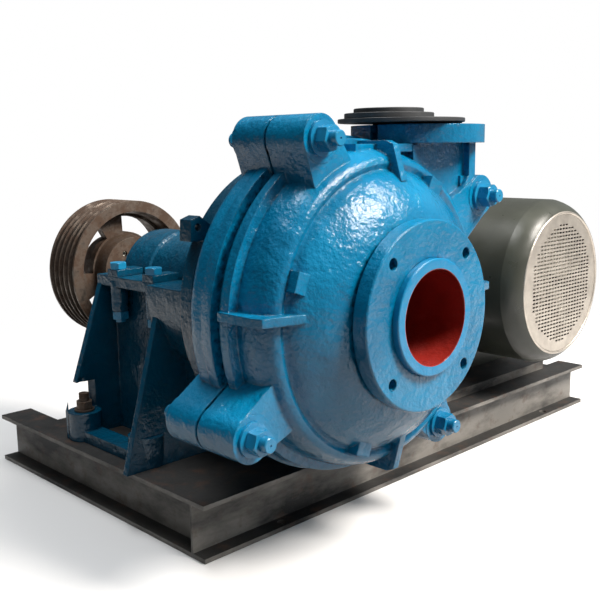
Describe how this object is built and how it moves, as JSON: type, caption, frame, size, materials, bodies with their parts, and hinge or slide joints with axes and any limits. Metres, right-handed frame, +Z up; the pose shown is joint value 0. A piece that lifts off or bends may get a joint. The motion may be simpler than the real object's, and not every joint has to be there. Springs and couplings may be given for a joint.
{
  "type": "slurry pump",
  "caption": "Horizontal lined slurry pump with bearing cartridge, V-belt pulleys and side-by-side electric motor on a welded steel base.",
  "frame": {"origin": "on the floor under the middle of the machine, at the centre of its outline seen from above", "axes": "+Z up; +Y along the pump shaft from the suction flange back to the pulley; +X from the pump across to the motor"},
  "size_m": [1.326, 0.966, 0.733],
  "materials": {
    "base_steel": "weathered dark primer over rolled steel",
    "pump_blue": "gloss enamel over as-cast iron",
    "frame_blue": "gloss enamel over as-cast iron",
    "bolt_blue": "enamel over zinc plated fasteners",
    "zinc_steel": "zinc plated",
    "machined_steel": "turned",
    "white_iron": "as cast",
    "red_liner": "gloss red oxide enamel",
    "dark_rubber": "matt",
    "blank_iron": "matt dark",
    "rusty_iron": "light surface rust",
    "packing_fibre": "braided",
    "gland_bronze": "machined",
    "motor_olive": "satin enamel",
    "guard_silver": "satin",
    "laminations": "stacked sheet",
    "copper_winding": "varnished",
    "fan_plastic": "moulded"
  },
  "bodies": {
    "base": {"base_front_beam": "base_steel", "base_rear_beam": "base_steel", "base_end_beams": "base_steel", "base_cross_channels": "base_steel", "pump_deck": "base_steel", "motor_plates": "base_steel", "motor_slide_rails": "motor_olive", "pump_frame": "frame_blue", "frame_plate": "pump_blue", "frame_plate_studs": "bolt_blue", "cover_plate": "pump_blue", "casing_bolts": "zinc_steel", "casing_bolt_nuts": "bolt_blue", "volute_liner": "white_iron", "throatbush": "red_liner", "frame_plate_liner": "white_iron", "discharge_joint_ring": "dark_rubber", "discharge_blank_lower": "blank_iron", "discharge_blank_middle": "blank_iron", "discharge_blank_upper": "blank_iron", "stuffing_box": "frame_blue", "lantern_ring": "gland_bronze", "packing_rings": "packing_fibre", "gland_studs": "zinc_steel", "frame_foot_studs": "rusty_iron", "cartridge_clamp_pads": "frame_blue", "cartridge_clamp_bolts": "bolt_blue"},
    "bearing_cartridge": {"bearing_housing": "frame_blue", "bearing_end_covers": "frame_blue", "bearing_cover_screws": "bolt_blue", "bearing_outer_rings": "machined_steel", "adjusting_screw": "zinc_steel"},
    "pump_rotor": {"pump_shaft": "machined_steel", "pump_shaft_key": "machined_steel", "shaft_sleeve": "machined_steel", "impeller": "white_iron", "labyrinth_rings": "machined_steel", "bearing_inner_rings": "machined_steel", "bearing_rollers": "machined_steel", "pump_pulley": "rusty_iron", "pulley_taper_bush": "rusty_iron", "taper_bush_screws": "zinc_steel"},
    "gland_follower": {"gland": "gland_bronze", "gland_nuts": "zinc_steel"},
    "motor": {"motor_frame": "motor_olive", "motor_fan_end_shield": "motor_olive", "motor_drive_end_shield": "motor_olive", "fan_cowl": "motor_olive", "fan_guard": "guard_silver", "terminal_box": "motor_olive", "terminal_box_lid": "motor_olive", "motor_lifting_eye": "zinc_steel", "stator_core": "laminations", "stator_windings": "copper_winding", "motor_bearings": "machined_steel", "motor_rail_bolts": "zinc_steel"},
    "motor_rotor": {"motor_shaft": "machined_steel", "rotor_core": "laminations", "cooling_fan": "fan_plastic", "motor_pulley": "rusty_iron"}
  },
  "joints": [
    {"name": "cartridge_adjust", "type": "slide", "parent": "base", "child": "bearing_cartridge", "axis": [0, 1, 0], "range_m": [-0.003, 0.0015]},
    {"name": "pump_rotor_spin", "type": "hinge", "parent": "bearing_cartridge", "child": "pump_rotor", "pos_m": [-0.325, 0.088, 0.405], "axis": [0, 1, 0], "continuous": true},
    {"name": "gland_follow", "type": "slide", "parent": "base", "child": "gland_follower", "axis": [0, 1, 0], "range_m": [0, 0.012]},
    {"name": "motor_tension_slide", "type": "slide", "parent": "base", "child": "motor", "axis": [1, 0, 0], "range_m": [-0.02, 0.02]},
    {"name": "motor_rotor_spin", "type": "hinge", "parent": "motor", "child": "motor_rotor", "pos_m": [0.375, 0.128, 0.3594], "axis": [0, 1, 0], "continuous": true}
  ]
}
